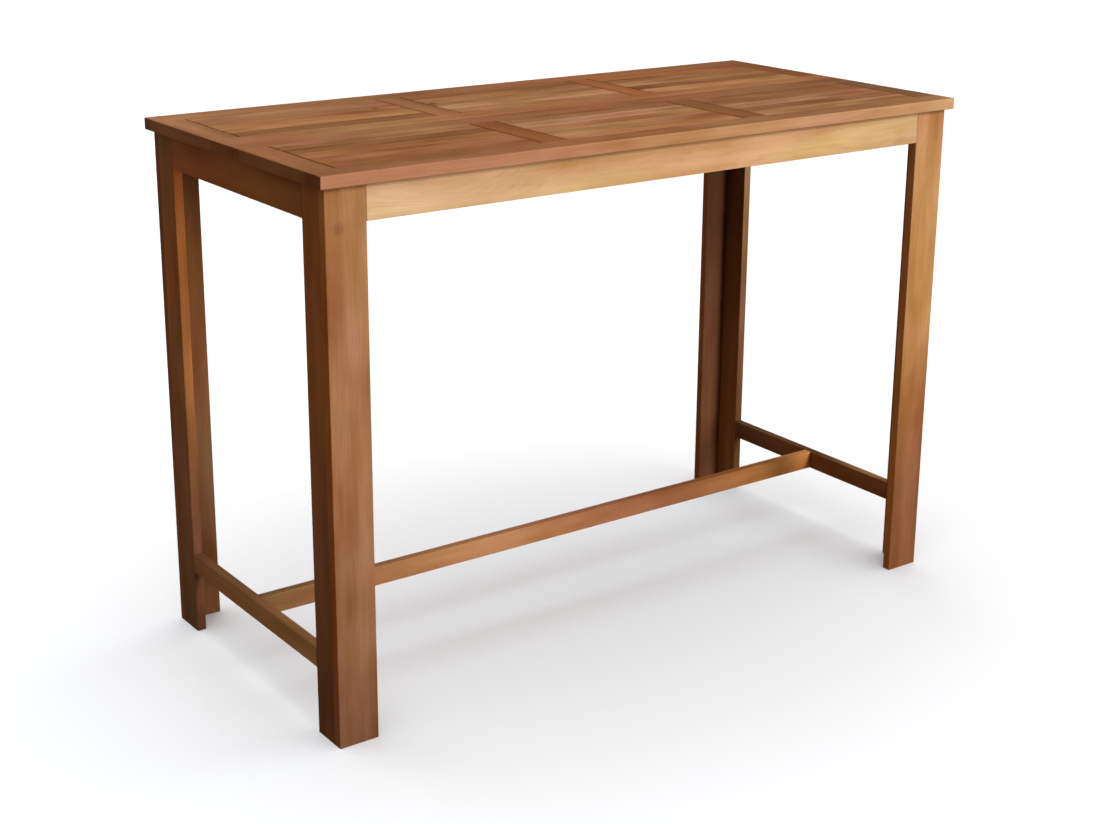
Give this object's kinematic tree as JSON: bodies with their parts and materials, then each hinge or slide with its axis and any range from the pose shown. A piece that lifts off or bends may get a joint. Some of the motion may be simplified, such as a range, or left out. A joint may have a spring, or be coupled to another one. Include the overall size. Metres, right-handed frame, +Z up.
{
  "type": "bar table",
  "caption": "Tall rectangular hardwood table with a slatted panel top, angle legs of two boards, flush aprons and a low H-shaped stretcher.",
  "frame": {"origin": "on the floor, under the middle of the tabletop", "axes": "+X along the table's length, +Y from the front to the back, +Z up"},
  "size_m": [1.5, 0.7, 1.05],
  "materials": {
    "top_rail_wood": "oiled, satin",
    "slat_wood": "oiled, satin",
    "apron_wood": "oiled, satin",
    "leg_wood": "oiled, satin",
    "stretcher_wood": "oiled, satin",
    "hidden_wood": "planed, thin oil",
    "dowel_wood": "bare beech",
    "screw_steel": "zinc plated"
  },
  "bodies": {
    "root": {"apron_back": "apron_wood", "apron_dowels": "dowel_wood", "apron_front": "apron_wood", "apron_left": "apron_wood", "apron_right": "apron_wood", "batten_1": "hidden_wood", "batten_2": "hidden_wood", "batten_3": "hidden_wood", "batten_4": "hidden_wood", "batten_5": "hidden_wood", "batten_screws": "screw_steel", "centre_rail_dowels": "dowel_wood", "cleat_back": "hidden_wood", "cleat_front": "hidden_wood", "cleat_left": "hidden_wood", "cleat_right": "hidden_wood", "cleat_screws": "screw_steel", "cross_rail_back_left": "top_rail_wood", "cross_rail_back_right": "top_rail_wood", "cross_rail_front_left": "top_rail_wood", "cross_rail_front_right": "top_rail_wood", "end_rail_back_left": "top_rail_wood", "end_rail_back_right": "top_rail_wood", "end_rail_front_left": "top_rail_wood", "end_rail_front_right": "top_rail_wood", "leg_back_left_face_board": "leg_wood", "leg_back_left_side_board": "leg_wood", "leg_back_right_face_board": "leg_wood", "leg_back_right_side_board": "leg_wood", "leg_dowels": "dowel_wood", "leg_front_left_face_board": "leg_wood", "leg_front_left_side_board": "leg_wood", "leg_front_right_face_board": "leg_wood", "leg_front_right_side_board": "leg_wood", "slats_back_left": "slat_wood", "slats_back_middle": "slat_wood", "slats_back_right": "slat_wood", "slats_front_left": "slat_wood", "slats_front_middle": "slat_wood", "slats_front_right": "slat_wood", "stretcher_dowels": "dowel_wood", "stretcher_left": "stretcher_wood", "stretcher_long": "stretcher_wood", "stretcher_right": "stretcher_wood", "top_rail_back": "top_rail_wood", "top_rail_centre_back": "top_rail_wood", "top_rail_centre_front": "top_rail_wood", "top_rail_front": "top_rail_wood", "top_screws": "screw_steel"}
  },
  "joints": []
}
